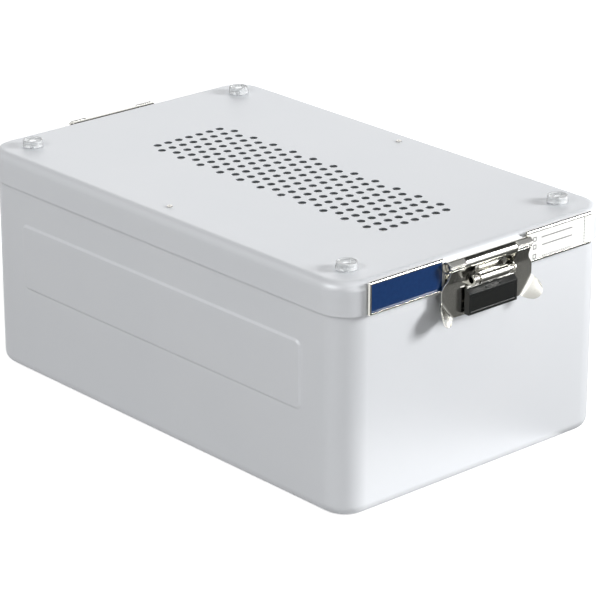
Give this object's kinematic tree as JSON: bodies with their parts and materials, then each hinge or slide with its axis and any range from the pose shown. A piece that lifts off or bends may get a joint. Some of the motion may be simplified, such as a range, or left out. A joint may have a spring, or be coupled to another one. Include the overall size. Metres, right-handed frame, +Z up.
{
  "type": "sterilization container",
  "caption": "Rigid aluminium sterilization container with a perforated lift-off lid, end latches with sliding lock bolts, stacking feet, label frames and a filter retainer under the lid.",
  "frame": {"origin": "middle of the pan's floor, on the surface that it stands on", "axes": "+X along the container towards the latch between the label frames, +Z up"},
  "size_m": [0.501, 0.3, 0.2063],
  "materials": {
    "anodised_shell": "satin anodised",
    "steel": "polished",
    "pin_steel": "bright drawn",
    "retainer": "satin",
    "rivet": "satin",
    "black_block": "fine matte",
    "clear_foot": "clear gloss",
    "seal": "matte silicone",
    "filter": "non-woven",
    "colour_plate": "semi-gloss blue",
    "card": "matte white"
  },
  "bodies": {
    "base": {"base_pan": "anodised_shell", "front_catch_plate": "steel", "front_catch_staple": "steel", "front_catch_rivet_left": "rivet", "front_catch_rivet_right": "rivet", "rear_catch_plate": "steel", "rear_catch_staple": "steel", "rear_catch_rivet_left": "rivet", "rear_catch_rivet_right": "rivet"},
    "lid": {"lid_shell": "anodised_shell", "lid_gasket": "seal", "stacking_foot_1": "clear_foot", "stacking_foot_2": "clear_foot", "stacking_foot_3": "clear_foot", "stacking_foot_4": "clear_foot", "foot_rivet_1": "rivet", "foot_rivet_2": "rivet", "foot_rivet_3": "rivet", "foot_rivet_4": "rivet", "retainer_stud_1": "pin_steel", "retainer_stud_2": "pin_steel", "front_hinge_bracket": "steel", "front_hinge_pin": "pin_steel", "front_bracket_rivet_left": "steel", "front_bracket_rivet_right": "steel", "rear_hinge_bracket": "steel", "rear_hinge_pin": "pin_steel", "rear_bracket_rivet_left": "steel", "rear_bracket_rivet_right": "steel", "left_label_frame": "steel", "right_label_frame": "steel", "colour_plate": "colour_plate"},
    "filter_retainer": {"filter_retainer": "retainer", "filter_sheet": "filter", "retainer_clip_1": "steel", "retainer_clip_2": "steel"},
    "label_card": {"label_card": "card"},
    "front_flap": {"front_latch_flap": "steel", "front_lock_pin": "pin_steel", "front_lock_spring": "pin_steel"},
    "front_lock": {"front_lock_lever": "steel", "front_lock_block": "black_block"},
    "front_bolt": {"front_lock_bolt": "pin_steel"},
    "rear_flap": {"rear_latch_flap": "steel", "rear_lock_pin": "pin_steel", "rear_lock_spring": "pin_steel"},
    "rear_lock": {"rear_lock_lever": "steel", "rear_lock_block": "black_block"},
    "rear_bolt": {"rear_lock_bolt": "pin_steel"}
  },
  "joints": [
    {"name": "lid_lift", "type": "slide", "parent": "base", "child": "lid", "axis": [0, 0, 1], "range_m": [0, 0.15]},
    {"name": "front_flap_hinge", "type": "hinge", "parent": "lid", "child": "front_flap", "pos_m": [0.2403, 0, 0.1923], "axis": [0, -1, 0], "range_deg": [0, 90]},
    {"name": "front_lock_hinge", "type": "hinge", "parent": "front_flap", "child": "front_lock", "pos_m": [0.2453, 0, 0.1782], "axis": [0, -1, 0], "range_deg": [0, 35], "stiffness_Nm_per_rad": 0.05, "springref_deg": -11.46},
    {"name": "front_bolt_slide", "type": "slide", "parent": "front_lock", "child": "front_bolt", "axis": [0, 1, 0], "range_m": [0, 0.0165]},
    {"name": "rear_flap_hinge", "type": "hinge", "parent": "lid", "child": "rear_flap", "pos_m": [-0.2403, 0, 0.1923], "axis": [0, 1, 0], "range_deg": [0, 90]},
    {"name": "rear_lock_hinge", "type": "hinge", "parent": "rear_flap", "child": "rear_lock", "pos_m": [-0.2453, 0, 0.1782], "axis": [0, 1, 0], "range_deg": [0, 35], "stiffness_Nm_per_rad": 0.05, "springref_deg": -11.46},
    {"name": "rear_bolt_slide", "type": "slide", "parent": "rear_lock", "child": "rear_bolt", "axis": [0, -1, 0], "range_m": [0, 0.0165]},
    {"name": "retainer_slide", "type": "slide", "parent": "lid", "child": "filter_retainer", "axis": [0, 0, -1], "range_m": [0, 0.02]},
    {"name": "card_slide", "type": "slide", "parent": "lid", "child": "label_card", "axis": [0, 1, 0], "range_m": [0, 0.09]}
  ]
}
